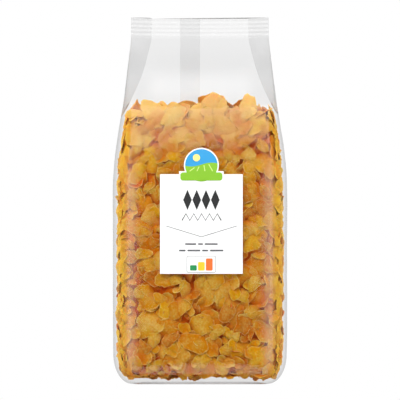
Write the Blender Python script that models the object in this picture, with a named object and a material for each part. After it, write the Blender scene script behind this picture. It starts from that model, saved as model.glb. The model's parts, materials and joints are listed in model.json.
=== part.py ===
"""A clear side-gusseted bag of corn flakes, standing upright, with a white printed front label.

The bag is one closed solid. From the floor up it has a flat folded base, a filled body whose
side panels bulge, an empty headspace where the side gussets tuck in, and a ribbed top seal.
The front faces -Y, +X is to the right of the front, and the origin is the middle of the base.
"""

import math

import bmesh
import bpy
from mathutils import Vector, noise

MM = 0.001

# Driving sizes of the bag
HEIGHT = 347.0 * MM
SEAL_HEIGHT = 17.0 * MM
SEAL_HALF_WIDTH = 65.5 * MM
SEAL_HALF_THICKNESS = 0.6 * MM
SEAL_FOOT = HEIGHT - SEAL_HEIGHT
PANEL_HALF_WIDTH = 62.5 * MM
GUSSET_DEPTH = 19.7 * MM
SIDE_FULLNESS = 0.85
SHOULDER = 258 * MM

# Height, half width, half depth and how far the gusset crease is tucked in, up the bag
STATIONS = (
    (0 * MM, 82.2 * MM, 35.8 * MM, 0 * MM),
    (60 * MM, 82.7 * MM, 37.4 * MM, 0 * MM),
    (130 * MM, 82.7 * MM, 37.5 * MM, 0 * MM),
    (190 * MM, 82.6 * MM, 36.8 * MM, 0 * MM),
    (220 * MM, 80.3 * MM, 35.2 * MM, 0 * MM),
    (250 * MM, 75.6 * MM, 31.8 * MM, 0 * MM),
    (266 * MM, 72.7 * MM, 28.0 * MM, 5.5 * MM),
    (296 * MM, 68.9 * MM, 15.4 * MM, 14.8 * MM),
    (326 * MM, 65.6 * MM, 2.4 * MM, 19.3 * MM),
    (SEAL_FOOT, SEAL_HALF_WIDTH, SEAL_HALF_THICKNESS, 0 * MM),
)
HALF_WIDTH, HALF_DEPTH, TUCK = 1, 2, 3

# The front and back panels' swell, flatter at the base and gone at the seal
PANEL_BULGE = 4.5 * MM
BASE_BULGE_SHARE = 0.45
BULGE_FULL_FROM = 60 * MM
BULGE_FULL_TO = 250 * MM

# Rounded bottom edge
EDGE_HEIGHT = 28 * MM
EDGE_SIDE_INSET = 17 * MM
EDGE_FRONT_INSET = 9 * MM
EDGE_PANEL_INSET = 11 * MM

# Top seal: crimp ribs that sag a little in the middle, and gusset ends that stand a little higher
RIB_PITCH = 3.86 * MM
RIB_DEPTH = 0.45 * MM
TOP_RIB = HEIGHT - 3.2 * MM
SEAL_SAG = 0.9 * MM
SAG_START = 300 * MM
GUSSET_STEP = 0.8 * MM

# Back seam: a flat fin from the middle towards -X
FIN_WIDTH = 19 * MM
FIN_THICKNESS = 0.6 * MM
FOLD_SHARPNESS = 0.3 * MM

# Flakes press the film out up to the fill line
FILL_LINE = 262 * MM
BUMP_SIZE = 13 * MM
BUMP_HEIGHT = 1.1 * MM
BUMPS_START = 6 * MM
BUMPS_FULL = 24 * MM
BUMPS_FADE = 14 * MM

# Front label: a white rectangle with a round badge and a ribbon over its top edge
LABEL_CENTRE_X = 1.3 * MM
LABEL_HALF_WIDTH = 39 * MM
LABEL_BOTTOM = 104.7 * MM
LABEL_TOP = 198.6 * MM
LABEL_THICKNESS = 0.5 * MM
LABEL_GAP = 0.3 * MM
LABEL_MARGIN = 7 * MM
BADGE_RADIUS = 16.5 * MM
BADGE_HEIGHT = 207 * MM
RIBBON_HALF_WIDTH = 21 * MM
RIBBON_BOTTOM = 191.5 * MM
RIBBON_TOP = 201.5 * MM

# Base: the folded ends and the bottom seal lie flat, with shallow pockets between them
FLAP_HALF_WIDTH = 8.5 * MM
FLAP_HALF_LENGTH = 47 * MM
POCKET_OUTER = 20 * MM
POCKET_DEPTH = 1.0 * MM
POCKET_SLOPE = 0.9
CRIMP_WIDTH = 1.0 * MM
CRIMP_DEPTH = 0.5 * MM
CRIMPS = 2

# Mesh density
PANEL_STEPS = (2, 3, 2, 4, 2)
SIDE_STEPS = 12
EDGE_STEPS = 7
BODY_STEPS = 32
HEADSPACE_STEPS = 8
RINGS_A_RIB = 4
LEAST_RING_GAP = 0.2 * MM
SIDE_SAMPLES = 24
SWELL_HALVINGS = 30
LABEL_CELL = 9 * MM
BADGE_SIDES = 40


def clear_scene():
    for obj in list(bpy.data.objects):
        bpy.data.objects.remove(obj)


def new_collection(name):
    collection = bpy.data.collections.new(name)
    bpy.context.scene.collection.children.link(collection)
    return collection


def finish(name, colour, roughness, metallic=0.0):
    material = bpy.data.materials.new(name)
    material.use_nodes = True
    shader = material.node_tree.nodes["Principled BSDF"]
    shader.inputs["Base Color"].default_value = (*colour, 1.0)
    shader.inputs["Roughness"].default_value = roughness
    shader.inputs["Metallic"].default_value = metallic
    return material


def smoothstep(low, high, value):
    t = min(max((value - low) / (high - low), 0.0), 1.0)
    return t * t * (3 - 2 * t)


def station_slope(index, column):
    below = STATIONS[max(index - 1, 0)]
    above = STATIONS[min(index + 1, len(STATIONS) - 1)]
    return (above[column] - below[column]) / (above[0] - below[0])


def profile(height, column):
    """One column of the stations at a height, on a smooth curve through them."""
    if height >= SEAL_FOOT:
        return STATIONS[-1][column]
    index = max(i for i in range(len(STATIONS) - 1) if STATIONS[i][0] <= height)
    low, high = STATIONS[index], STATIONS[index + 1]
    span = high[0] - low[0]
    t = (height - low[0]) / span
    start = station_slope(index, column) * span
    end = station_slope(index + 1, column) * span
    ease = t * t * (3 - 2 * t)
    curve = (1 - ease) * low[column] + ease * high[column]
    return curve + t * (1 - t) ** 2 * start - t * t * (1 - t) * end


def edge_inset(height):
    """How much of the bottom edge's rounding is left at a height: 1 on the floor, 0 above the edge."""
    if height >= EDGE_HEIGHT:
        return 0.0
    reach = (EDGE_HEIGHT - height) / EDGE_HEIGHT
    return 1 - math.sqrt(max(1 - reach * reach, 0.0))


def half_width(height):
    return profile(height, HALF_WIDTH) - EDGE_SIDE_INSET * edge_inset(height)


def panel_edge(height):
    """Half the width of the flat front panel, which meets the seal's full width at the top."""
    towards_seal = smoothstep(SAG_START, SEAL_FOOT, height)
    width = PANEL_HALF_WIDTH + (SEAL_HALF_WIDTH - PANEL_HALF_WIDTH) * towards_seal
    return width - EDGE_PANEL_INSET * edge_inset(height)


def panel_bulge(height):
    lower = smoothstep(0, BULGE_FULL_FROM, height)
    upper = 1 - smoothstep(BULGE_FULL_TO, SEAL_FOOT, height)
    return PANEL_BULGE * (BASE_BULGE_SHARE + (1 - BASE_BULGE_SHARE) * lower) * upper


def edge_depth(height):
    """Half the bag's depth at the edges of its front panel."""
    depth = profile(height, HALF_DEPTH) - EDGE_FRONT_INSET * edge_inset(height)
    return depth - panel_bulge(height)


def panel_depth(x, height):
    """How far the front or back panel stands from the middle plane."""
    across = min(abs(x) / panel_edge(height), 1.0)
    return edge_depth(height) + panel_bulge(height) * (1 - across * across)


def side_reach(height):
    """How far the side panel swells past the panel edge and how far its crease drops back.

    The swell is the largest that keeps the side panel inside the bag's half width."""
    edge, widest = panel_edge(height), half_width(height)
    crease = widest - max(profile(height, TUCK), 0.0)
    low, high = 0.0, 2 * (widest - edge) + GUSSET_DEPTH
    for _ in range(SWELL_HALVINGS):
        swell = (low + high) / 2
        drop = edge + swell - crease
        shares = [i / SIDE_SAMPLES for i in range(SIDE_SAMPLES + 1)]
        reach = max(side_x(edge, swell, drop, share) for share in shares)
        low, high = (swell, high) if reach <= widest + 1e-6 else (low, swell)
    return low, edge + low - crease


def side_x(edge, swell, drop, share):
    """Distance from the middle plane along the side panel, from its edge at share 0 to its crease at 1."""
    return edge + swell * math.sin(share * math.pi / 2) ** SIDE_FULLNESS - drop * share**4


def panel_xs(height):
    """The places across a panel, from -X to +X, with close pairs at the gussets' and the fin's folds."""
    edge = panel_edge(height)
    gusset = edge * (1 - GUSSET_DEPTH / SEAL_HALF_WIDTH)
    folds = (-gusset, -FIN_WIDTH, 0.0, gusset)
    starts = [-edge] + [fold + FOLD_SHARPNESS / 2 for fold in folds]
    ends = [fold - FOLD_SHARPNESS / 2 for fold in folds] + [edge]
    xs = []
    for start, end, steps in zip(starts, ends, PANEL_STEPS):
        xs += [start + (end - start) * i / steps for i in range(steps + 1)]
    return xs


def rib_wave(height):
    """The crimp's shift of both faces of the seal."""
    if height <= SEAL_FOOT:
        return 0.0
    return RIB_DEPTH * math.cos((height - TOP_RIB) / RIB_PITCH * 2 * math.pi)


def bump(point):
    """How far a flake presses the film out at a point, nothing in the headspace, base and label."""
    in_fill = smoothstep(BUMPS_START, BUMPS_FULL, point.z)
    in_fill *= 1 - smoothstep(FILL_LINE - BUMPS_FADE, FILL_LINE, point.z)
    if point.y < 0:
        beside = smoothstep(0, LABEL_MARGIN, abs(point.x - LABEL_CENTRE_X) - LABEL_HALF_WIDTH)
        past = max(LABEL_BOTTOM - point.z, point.z - BADGE_HEIGHT - BADGE_RADIUS)
        in_fill *= max(beside, smoothstep(0, LABEL_MARGIN, past))
    return BUMP_HEIGHT * noise.noise(point / BUMP_SIZE) * in_fill


def ring(height):
    """The bag's outline at a height, from the front's -X end anticlockwise as seen from above."""
    edge, deep = panel_edge(height), edge_depth(height)
    swell, drop = side_reach(height)
    shift = rib_wave(height)
    xs = panel_xs(height)
    points = [(x, -panel_depth(x, height) - shift) for x in xs]
    side = []
    for i in range(1, SIDE_STEPS):
        turn = math.pi * i / SIDE_STEPS
        share = 2 * min(i, SIDE_STEPS - i) / SIDE_STEPS
        reach = math.copysign(abs(math.cos(turn)) ** SIDE_FULLNESS, math.cos(turn))
        side.append((side_x(edge, swell, drop, share), -deep * reach - shift))
    points += side
    for x in reversed(xs):
        on_fin = -FIN_WIDTH < x < 0
        points.append((x, panel_depth(x, height) - shift + FIN_THICKNESS * on_fin))
    points += [(-x, y) for x, y in reversed(side)]
    return [placed(x, y, height) for x, y in points]


def placed(x, y, height):
    """A point of the outline with the seal's sag, the gusset ends' step and the flakes' bumps."""
    across = min(abs(x) / SEAL_HALF_WIDTH, 1.0)
    sag = SEAL_SAG * (1 - across * across) * smoothstep(SAG_START, SEAL_FOOT, height)
    at_gusset = across > 1 - GUSSET_DEPTH / SEAL_HALF_WIDTH
    step = GUSSET_STEP * at_gusset * smoothstep(TOP_RIB, HEIGHT, height)
    point = Vector((x, y, height - sag + step))
    outward = Vector((x / half_width(height), y / max(edge_depth(height), MM), 0))
    return point + outward.normalized() * bump(point)


def ring_heights():
    """Where the rings lie: close on the rounded edge and the crimp ribs, wide on the body."""
    edge = [
        EDGE_HEIGHT * (1 - math.cos(math.pi / 2 * i / EDGE_STEPS)) for i in range(EDGE_STEPS)
    ]
    body = [
        EDGE_HEIGHT + (SHOULDER - EDGE_HEIGHT) * i / BODY_STEPS for i in range(BODY_STEPS)
    ]
    taper_top = STATIONS[-2][0]
    taper = [
        SHOULDER + (taper_top - SHOULDER) * i / HEADSPACE_STEPS
        for i in range(HEADSPACE_STEPS + 1)
    ]
    step = RIB_PITCH / RINGS_A_RIB
    ribs = int(SEAL_HEIGHT / step)
    crimp = [HEIGHT - step * i for i in range(ribs, -1, -1)]
    crimp = [z for z in crimp if z > SEAL_FOOT + LEAST_RING_GAP]
    return edge + body + taper + [SEAL_FOOT] + crimp


def bag_mesh():
    """The bag lofted through its rings, closed by a flat base and a strip along the top edge."""
    mesh = bmesh.new()
    rings = [[mesh.verts.new(p) for p in ring(z)] for z in ring_heights()]
    count = len(rings[0])
    for lower, upper in zip(rings, rings[1:]):
        for i in range(count):
            j = (i + 1) % count
            mesh.faces.new((lower[i], lower[j], upper[j], upper[i]))
    mesh.faces.new(reversed(rings[0]))
    top = rings[-1]
    across = len(panel_xs(HEIGHT))
    end = across + SIDE_STEPS - 1
    back = [top[end + across - 1 - i] for i in range(across)]
    for i in range(across - 1):
        mesh.faces.new((top[i], top[i + 1], back[i + 1], back[i]))
    mesh.faces.new(top[across - 1 : end + 1])
    mesh.faces.new(top[end + across - 1 :] + [top[0]])
    return mesh


def make_bag(collection):
    mesh = bpy.data.meshes.new("bag")
    lofted = bag_mesh()
    lofted.to_mesh(mesh)
    lofted.free()
    bag = bpy.data.objects.new("bag", mesh)
    collection.objects.link(bag)
    mesh.materials.append(finish("golden flakes in film", (0.78, 0.42, 0.08), 0.35))
    mesh.shade_smooth()
    return bag


def put_in(obj, name, collection):
    """Names a new object and moves it to its collection."""
    obj.name = name
    for owner in list(obj.users_collection):
        owner.objects.unlink(obj)
    collection.objects.link(obj)


def block(centre, size):
    """A box with its size applied."""
    bpy.ops.mesh.primitive_cube_add(size=1, location=centre)
    box = bpy.context.object
    box.scale = size
    bpy.ops.object.transform_apply(location=False, rotation=False, scale=True)
    return box


def as_cutter(cutter, name, collection):
    cutter.hide_render = True
    cutter.display_type = "WIRE"
    put_in(cutter, name, collection)


def make_base_pockets(collection):
    """A pocket on each side of the bottom seal, its ends running along the folded corners."""
    for side in (-1, 1):
        middle = side * (FLAP_HALF_WIDTH + POCKET_OUTER) / 2
        width = POCKET_OUTER - FLAP_HALF_WIDTH
        pocket = block((0, middle, 0), (2 * FLAP_HALF_LENGTH, width, 2 * POCKET_DEPTH))
        for vert in pocket.data.vertices:
            if vert.co.y * side > 0:
                vert.co.x -= math.copysign(width * POCKET_SLOPE, vert.co.x)
        as_cutter(pocket, "base_pocket", collection)


def make_base_crimps(collection):
    """The crimp lines along the folded bottom seal."""
    pitch = 2 * FLAP_HALF_WIDTH / (CRIMPS + 1)
    for i in range(CRIMPS):
        y = pitch * (i + 1) - FLAP_HALF_WIDTH
        crimp = block((0, y, 0), (2 * FLAP_HALF_LENGTH, CRIMP_WIDTH, 2 * CRIMP_DEPTH))
        as_cutter(crimp, "base_crimp", collection)


def cut_base(bag, cutters):
    cut = bag.modifiers.new("base folds", "BOOLEAN")
    cut.operation = "DIFFERENCE"
    cut.solver = "EXACT"
    cut.operand_type = "COLLECTION"
    cut.collection = cutters


def label_slab(name, half_width, bottom, top, collection):
    """A flat upright slab of the label, before it is bent to the bag."""
    centre = (LABEL_CENTRE_X, 0, (bottom + top) / 2)
    slab = block(centre, (2 * half_width, LABEL_THICKNESS, top - bottom))
    bpy.ops.object.transform_apply(location=True, rotation=False, scale=False)
    put_in(slab, name, collection)
    return slab


def badge_disc(collection):
    bpy.ops.mesh.primitive_cylinder_add(
        vertices=BADGE_SIDES,
        radius=BADGE_RADIUS,
        depth=LABEL_THICKNESS,
        location=(LABEL_CENTRE_X, 0, BADGE_HEIGHT),
        rotation=(math.pi / 2, 0, 0),
    )
    disc = bpy.context.object
    bpy.ops.object.transform_apply(location=True, rotation=True, scale=True)
    put_in(disc, "badge_disc", collection)


def bend_to_bag(mesh):
    """Cuts a flat upright slab into cells and lays them on the bag's front."""
    cells = bmesh.new()
    cells.from_mesh(mesh)
    for axis in (0, 2):
        low = min(v.co[axis] for v in cells.verts)
        high = max(v.co[axis] for v in cells.verts)
        count = round((high - low) / LABEL_CELL)
        for i in range(1, count):
            place = Vector((0, 0, 0))
            place[axis] = low + (high - low) * i / count
            normal = Vector((0, 0, 0))
            normal[axis] = 1
            parts = cells.verts[:] + cells.edges[:] + cells.faces[:]
            bmesh.ops.bisect_plane(cells, geom=parts, plane_co=place, plane_no=normal)
    for vert in cells.verts:
        stand_off = panel_depth(vert.co.x, vert.co.z) + LABEL_GAP + LABEL_THICKNESS / 2
        vert.co.y -= stand_off
    cells.to_mesh(mesh)
    cells.free()


def make_label(collection):
    """The label's rectangle, badge and ribbon joined into one thin bent plate."""
    pieces = new_collection("label pieces")
    label = label_slab("label", LABEL_HALF_WIDTH, LABEL_BOTTOM, LABEL_TOP, collection)
    label_slab("ribbon", RIBBON_HALF_WIDTH, RIBBON_BOTTOM, RIBBON_TOP, pieces)
    badge_disc(pieces)
    join = label.modifiers.new("badge", "BOOLEAN")
    join.operation = "UNION"
    join.solver = "EXACT"
    join.operand_type = "COLLECTION"
    join.collection = pieces
    graph = bpy.context.evaluated_depsgraph_get()
    joined = bpy.data.meshes.new_from_object(label.evaluated_get(graph))
    label.modifiers.clear()
    label.data = joined
    for piece in list(pieces.objects):
        bpy.data.objects.remove(piece)
    bpy.data.collections.remove(pieces)
    bend_to_bag(joined)
    joined.materials.clear()
    joined.materials.append(finish("label white", (0.95, 0.95, 0.94), 0.4))


def main():
    clear_scene()
    pack = new_collection("bag of corn flakes")
    cutters = new_collection("cutters")
    bag = make_bag(pack)
    make_base_pockets(cutters)
    make_base_crimps(cutters)
    cut_base(bag, cutters)
    make_label(pack)


main()
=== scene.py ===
"""Looks of a clear side-gusseted bag of corn flakes: film, loose flakes, printed label and studio.

The front faces -Y and the bag stands on z = 0. The film and the label are made from the same
sections as the solids of the frame, with finer steps, and the flakes are laid one by one inside.
"""

import json
import math

import bmesh
import bpy
import numpy as np
from mathutils import Matrix, Vector, noise

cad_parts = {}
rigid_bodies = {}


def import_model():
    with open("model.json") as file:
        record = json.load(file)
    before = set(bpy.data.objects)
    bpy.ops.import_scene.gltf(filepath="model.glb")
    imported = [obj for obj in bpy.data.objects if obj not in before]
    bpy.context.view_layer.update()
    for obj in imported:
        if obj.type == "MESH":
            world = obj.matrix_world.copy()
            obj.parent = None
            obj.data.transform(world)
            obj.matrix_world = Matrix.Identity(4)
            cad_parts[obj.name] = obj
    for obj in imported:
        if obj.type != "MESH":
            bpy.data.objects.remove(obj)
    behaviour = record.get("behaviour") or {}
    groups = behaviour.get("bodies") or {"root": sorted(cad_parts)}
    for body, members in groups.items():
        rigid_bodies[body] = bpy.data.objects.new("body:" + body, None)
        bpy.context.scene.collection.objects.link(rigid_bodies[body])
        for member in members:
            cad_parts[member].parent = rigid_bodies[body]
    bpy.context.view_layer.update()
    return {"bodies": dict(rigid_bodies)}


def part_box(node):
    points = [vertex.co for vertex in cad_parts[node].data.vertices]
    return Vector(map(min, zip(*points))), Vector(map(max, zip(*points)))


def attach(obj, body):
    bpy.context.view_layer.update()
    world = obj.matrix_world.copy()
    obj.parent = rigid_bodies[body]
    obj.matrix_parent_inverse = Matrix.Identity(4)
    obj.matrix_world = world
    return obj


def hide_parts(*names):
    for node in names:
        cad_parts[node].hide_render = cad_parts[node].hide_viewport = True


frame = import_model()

MM = 0.001
BODY = next(iter(frame["bodies"]))
BAG_LOW, BAG_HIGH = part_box("bag")
LABEL_LOW, LABEL_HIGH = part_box("label")

# Sizes of the bag, as its solid has them
GUSSET_STEP = 0.8 * MM
HEIGHT = BAG_HIGH.z - GUSSET_STEP
SEAL_HEIGHT = 17.0 * MM
SEAL_FOOT = HEIGHT - SEAL_HEIGHT
SEAL_HALF_WIDTH = 65.5 * MM
PANEL_HALF_WIDTH = 62.5 * MM
GUSSET_DEPTH = 19.7 * MM
SIDE_FULLNESS = 0.85

# Height, half width, half depth and how far the gusset crease is tucked in, up the bag
STATIONS = MM * np.array(
    (
        (0, 82.2, 35.8, 0),
        (60, 82.7, 37.4, 0),
        (130, 82.7, 37.5, 0),
        (190, 82.6, 36.8, 0),
        (220, 80.3, 35.2, 0),
        (250, 75.6, 31.8, 0),
        (266, 72.7, 28.0, 5.5),
        (296, 68.9, 15.4, 14.8),
        (326, 65.6, 2.4, 19.3),
        (330, 65.5, 0.6, 19.7),
    )
)
HALF_WIDTH, HALF_DEPTH, TUCK = 1, 2, 3
PANEL_BULGE = 4.5 * MM
BASE_BULGE_SHARE = 0.45
BULGE_FULL_FROM = 60 * MM
BULGE_FULL_TO = 250 * MM
EDGE_HEIGHT = 28 * MM
EDGE_SIDE_INSET = 17 * MM
EDGE_FRONT_INSET = 9 * MM
EDGE_PANEL_INSET = 11 * MM
RIB_PITCH = 3.86 * MM
RIB_DEPTH = 0.45 * MM
TOP_RIB = HEIGHT - 3.2 * MM
SEAL_SAG = 0.9 * MM
SAG_START = 300 * MM
SEAM_FROM, SEAM_TO = -19 * MM, 0.0

# How high flakes press on the film, and its relief there, which is lower than the solid's
FILL_LINE = 262 * MM
BUMP_SIZE = 13 * MM
BUMP_HEIGHT = 0.2 * MM
BUMPS_START = 6 * MM
BUMPS_FULL = 24 * MM
BUMPS_FADE = 14 * MM

# The label, from its solid
LABEL_CENTRE_X = (LABEL_LOW.x + LABEL_HIGH.x) / 2
LABEL_HALF_WIDTH = (LABEL_HIGH.x - LABEL_LOW.x) / 2
LABEL_BOTTOM = LABEL_LOW.z
LABEL_TOP = 198.6 * MM
LABEL_MARGIN = 7 * MM
BADGE_RADIUS = 16.5 * MM
BADGE_HEIGHT = LABEL_HIGH.z - BADGE_RADIUS
RIBBON_HALF_WIDTH = 21 * MM
RIBBON_BOTTOM = 191.5 * MM
RIBBON_TOP = 201.5 * MM


def smoothstep(low, high, value):
    t = np.clip((value - low) / (high - low), 0.0, 1.0)
    return t * t * (3 - 2 * t)


def profile(height, column):
    """One column of the stations at a height, on a smooth curve through them."""
    at, values = STATIONS[:, 0], STATIONS[:, column]
    if height >= SEAL_FOOT:
        return values[-1]
    i = max(int(np.searchsorted(at, height, side="right")) - 1, 0)
    below, above = max(i - 1, 0), min(i + 2, len(at) - 1)
    span = at[i + 1] - at[i]
    start = (values[i + 1] - values[below]) / (at[i + 1] - at[below]) * span
    end = (values[above] - values[i]) / (at[above] - at[i]) * span
    t = (height - at[i]) / span
    ease = t * t * (3 - 2 * t)
    curve = (1 - ease) * values[i] + ease * values[i + 1]
    return curve + t * (1 - t) ** 2 * start - t * t * (1 - t) * end


def edge_inset(height):
    """How much of the bottom edge's rounding is left: 1 on the floor, 0 above the edge."""
    reach = max((EDGE_HEIGHT - height) / EDGE_HEIGHT, 0.0)
    return 1 - math.sqrt(max(1 - reach * reach, 0.0))


def half_width(height):
    return profile(height, HALF_WIDTH) - EDGE_SIDE_INSET * edge_inset(height)


def panel_edge(height):
    towards_seal = smoothstep(SAG_START, SEAL_FOOT, height)
    width = PANEL_HALF_WIDTH + (SEAL_HALF_WIDTH - PANEL_HALF_WIDTH) * towards_seal
    return width - EDGE_PANEL_INSET * edge_inset(height)


def panel_bulge(height):
    lower = smoothstep(0, BULGE_FULL_FROM, height)
    upper = 1 - smoothstep(BULGE_FULL_TO, SEAL_FOOT, height)
    return PANEL_BULGE * (BASE_BULGE_SHARE + (1 - BASE_BULGE_SHARE) * lower) * upper


def edge_depth(height):
    depth = profile(height, HALF_DEPTH) - EDGE_FRONT_INSET * edge_inset(height)
    return depth - panel_bulge(height)


def panel_depth(x, height):
    """How far the front or back panel stands from the middle plane."""
    across = min(abs(x) / panel_edge(height), 1.0)
    return edge_depth(height) + panel_bulge(height) * (1 - across * across)


def side_x(edge, swell, drop, share):
    """Distance from the middle plane along the side panel, from its edge to its crease."""
    return edge + swell * np.sin(share * math.pi / 2) ** SIDE_FULLNESS - drop * share**4


def side_reach(height):
    """The largest swell that keeps the side panel inside the half width, and its crease's drop."""
    edge, widest = panel_edge(height), half_width(height)
    crease = widest - max(profile(height, TUCK), 0.0)
    shares = np.linspace(0, 1, 25)
    low, high = 0.0, 2 * (widest - edge) + GUSSET_DEPTH
    for _ in range(30):
        swell = (low + high) / 2
        reach = side_x(edge, swell, edge + swell - crease, shares).max()
        low, high = (swell, high) if reach <= widest + 1e-6 else (low, swell)
    return low, edge + low - crease


def rib_wave(height):
    """The crimp's shift of both faces of the seal."""
    if height <= SEAL_FOOT:
        return 0.0
    return RIB_DEPTH * math.cos((height - TOP_RIB) / RIB_PITCH * 2 * math.pi)


def outline(height, panel_steps, side_steps):
    """The bag's section at a height, from the front's -X end anticlockwise as seen from above."""
    edge, deep = panel_edge(height), edge_depth(height)
    swell, drop = side_reach(height)
    xs = np.linspace(-edge, edge, panel_steps + 1)
    front = np.array([(x, -panel_depth(x, height)) for x in xs])
    steps = np.arange(1, side_steps)
    turn = math.pi * steps / side_steps
    share = 2 * np.minimum(steps, side_steps - steps) / side_steps
    reach = np.copysign(np.abs(np.cos(turn)) ** SIDE_FULLNESS, np.cos(turn))
    side = np.column_stack((side_x(edge, swell, drop, share), -deep * reach))
    back = front[::-1] * (1, -1)
    ring = np.concatenate((front, side, back, side[::-1] * (-1, 1)))
    return ring - (0, rib_wave(height))


def in_fill(x, y, z):
    """1 where flakes press on the film, 0 in the headspace, at the base and under the label."""
    share = smoothstep(BUMPS_START, BUMPS_FULL, z)
    share *= 1 - smoothstep(FILL_LINE - BUMPS_FADE, FILL_LINE, z)
    return share * off_label(x, y, z)


def off_label(x, y, z):
    if y >= 0:
        return 1.0
    beside = smoothstep(0, LABEL_MARGIN, abs(x - LABEL_CENTRE_X) - LABEL_HALF_WIDTH)
    past = max(LABEL_BOTTOM - z, z - LABEL_HIGH.z)
    return max(beside, smoothstep(0, LABEL_MARGIN, past))


# Objects and meshes


def new_object(name, mesh, material=None, slot=None):
    """A mesh object of the part at the origin, riding on its one body."""
    thing = bpy.data.objects.new(name, mesh)
    bpy.context.scene.collection.objects.link(thing)
    if material:
        mesh.materials.clear()
        mesh.materials.append(material)
    if slot:
        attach(thing, BODY)
    return thing


def mesh_from(name, verts, faces, smooth=True):
    mesh = bpy.data.meshes.new(name)
    mesh.from_pydata([tuple(v) for v in verts], [], [tuple(f) for f in faces])
    if smooth:
        mesh.shade_smooth()
    return mesh


def put_attribute(mesh, name, kind, values):
    attribute = mesh.attributes.new(name, kind, "POINT")
    field = "vector" if kind == "FLOAT_VECTOR" else "value"
    attribute.data.foreach_set(field, np.asarray(values).ravel())


# Shader building


class Socket:
    """A shader socket that Python's operators join to Math nodes."""

    def __init__(self, tree, socket):
        self.tree, self.socket = tree, socket

    def do(self, operation, other, turned=False):
        terms = (other, self) if turned else (self, other)
        return self.tree.node("ShaderNodeMath", {"operation": operation}, dict(enumerate(terms)))

    def __add__(self, other):
        return self.do("ADD", other)

    __radd__ = __add__

    def __sub__(self, other):
        return self.do("SUBTRACT", other)

    def __rsub__(self, other):
        return self.do("SUBTRACT", other, turned=True)

    def __mul__(self, other):
        return self.do("MULTIPLY", other)

    __rmul__ = __mul__

    def __pow__(self, other):
        return self.do("POWER", other)

    def __abs__(self):
        return self.do("ABSOLUTE", 0)

    def most(self, other):
        return self.do("MAXIMUM", other)

    def smooth(self, low, high):
        """0 below low, 1 above high, eased between."""
        settings = {"interpolation_type": "SMOOTHSTEP"}
        sockets = {"Value": self, "From Min": low, "From Max": high}
        return self.tree.node("ShaderNodeMapRange", settings, sockets)


class Finish:
    """A material, or the world, under construction."""

    def __init__(self, holder):
        if isinstance(holder, str):
            holder = bpy.data.materials.new(holder)
            holder.use_nodes = True
        self.holder = holder
        self.nodes = holder.node_tree.nodes
        self.links = holder.node_tree.links
        self.nodes.clear()

    def node(self, kind, settings=None, sockets=None, out=0):
        """Adds a node: its type, its settings, then the values or links of its sockets."""
        node = self.nodes.new(kind)
        for name, value in (settings or {}).items():
            setattr(node, name, value)
        for name, value in (sockets or {}).items():
            if isinstance(value, Socket):
                self.links.new(value.socket, node.inputs[name])
            else:
                node.inputs[name].default_value = value
        return Socket(self, node.outputs[out]) if len(node.outputs) else None

    def place(self):
        """The point being shaded, in metres."""
        return self.node("ShaderNodeTexCoord", out="Object")

    def coordinate(self, axis, of=None):
        """One coordinate of the point being shaded, or of another vector."""
        return self.node("ShaderNodeSeparateXYZ", None, {0: of or self.place()}, out=axis)

    def attribute(self, name):
        return self.node("ShaderNodeAttribute", {"attribute_name": name}, out="Fac")

    def noise(self, period, detail=2.0, at=None, **sockets):
        """A noise of a given period in metres, about 0.5."""
        inputs = {"Vector": at or self.place(), "Scale": 1 / period, "Detail": detail}
        return self.node("ShaderNodeTexNoise", None, {**inputs, **sockets}, out=0)

    def mix(self, share, first, second):
        sockets = {0: share, 6: first, 7: second}
        return self.node("ShaderNodeMix", {"data_type": "RGBA"}, sockets, out=2)

    def blend(self, share, first, second):
        """Two shaders mixed by a share."""
        return self.node("ShaderNodeMixShader", None, {0: share, 1: first, 2: second})

    def clear(self, red, green, blue):
        """Lets light straight through with a tint."""
        return self.node("ShaderNodeBsdfTransparent", None, {"Color": (red, green, blue, 1)})

    def bump(self, height, distance, strength=1.0):
        sockets = {"Height": height, "Distance": distance, "Strength": strength}
        return self.node("ShaderNodeBump", None, sockets)

    def principled(self, **sockets):
        named = {name.replace("_", " "): value for name, value in sockets.items()}
        return self.node("ShaderNodeBsdfPrincipled", None, named)

    def done(self, surface):
        self.node("ShaderNodeOutputMaterial", None, {"Surface": surface})
        return self.holder


def linear(red, green, blue):
    """A colour given in display values of 0 to 255, as the shaders take it."""
    channels = (c / 255 for c in (red, green, blue))
    return (*(c / 12.92 if c < 0.04 else ((c + 0.055) / 1.055) ** 2.4 for c in channels), 1.0)


# Film

FILM_PANEL_STEPS = 44
FILM_SIDE_STEPS = 28
BODY_RING = 3.0 * MM
SEAL_RING = 0.48 * MM
WRINKLE_HEIGHT = 0.4 * MM
SEAM_START = 7 * MM
SEAM_GAP = 0.12 * MM
SEAM_THICKNESS = 0.45 * MM
FLAP_HALF_WIDTH = 8.5 * MM
FLAP_HALF_LENGTH = 47 * MM
CORNER_FOLD = 36 * MM
CORNER_OUTER = 56 * MM
CORNER_DEPTH = 21 * MM
CORNER_LOW, CORNER_HIGH = 0.5 * MM, 0.75 * MM
BASE_SEAL_HALF_LENGTH = FLAP_HALF_LENGTH + 16 * MM
WRINKLE_WIDTH, WRINKLE_LENGTH = 11 * MM, 46 * MM
SLACK_BELOW, SLACK_TO = 30 * MM, 322 * MM
CRINKLE_HEIGHT, CRINKLE_SIZE = 0.03 * MM, 5 * MM
# Where the painted highlight bands lie beside the folds
FOLD_SHIFT, FOLD_WIDTH = 2.4 * MM, 4.6 * MM
FOLD_FOOT, FOLD_TOP = (6 * MM, 26 * MM), (190 * MM, 228 * MM)
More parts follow.
